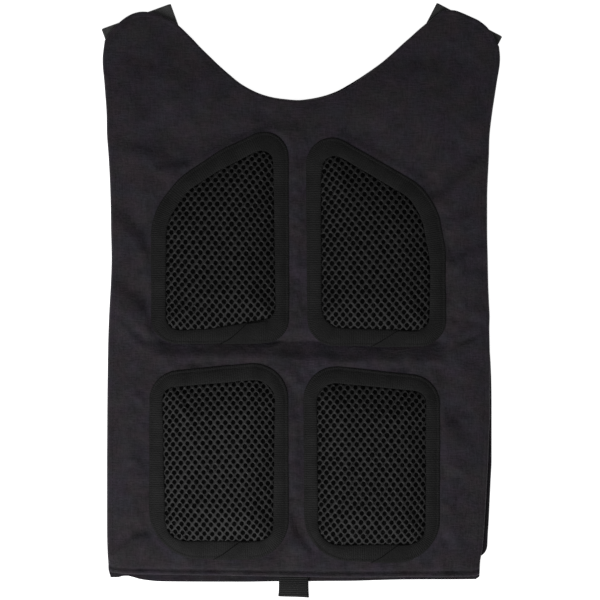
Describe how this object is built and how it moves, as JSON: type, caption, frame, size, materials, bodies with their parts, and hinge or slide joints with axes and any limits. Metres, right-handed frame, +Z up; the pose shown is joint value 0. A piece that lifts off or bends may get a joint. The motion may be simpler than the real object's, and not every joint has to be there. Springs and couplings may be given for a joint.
{
  "type": "armor carrier vest panel",
  "caption": "Flat fabric carrier for a soft armor panel, with breathable mesh pads on the body side, a scoop neck, folded shoulder straps and wings, and a webbing pull tab.",
  "frame": {"origin": "bottom centre of the bounding box: on the surface that the vest lies on, in the middle of its outline", "axes": "+Y from the hem to the shoulders, +Z up out of the body side with the mesh pads, +X to the right-hand side as seen from above with the shoulders away"},
  "size_m": [0.3452, 0.5129, 0.0239],
  "materials": {
    "carrier_cloth": "matte black woven cloth with a slight purple cast",
    "spacer_mesh": "matte black spacer mesh",
    "binding_tape": "matte black ribbed tape",
    "hook_and_loop": "matte black hook-and-loop",
    "webbing": "black woven webbing with a slight sheen"
  },
  "bodies": {
    "root": {"inner_panel": "carrier_cloth", "outer_panel": "carrier_cloth", "mesh_pad_upper_left": "spacer_mesh", "mesh_pad_upper_right": "spacer_mesh", "mesh_pad_lower_left": "spacer_mesh", "mesh_pad_lower_right": "spacer_mesh", "binding_upper_left": "binding_tape", "binding_upper_right": "binding_tape", "binding_lower_left": "binding_tape", "binding_lower_right": "binding_tape", "shoulder_strap_left": "hook_and_loop", "shoulder_strap_right": "hook_and_loop", "side_wing_left": "carrier_cloth", "side_wing_right": "carrier_cloth", "pull_tab": "webbing"}
  },
  "joints": []
}
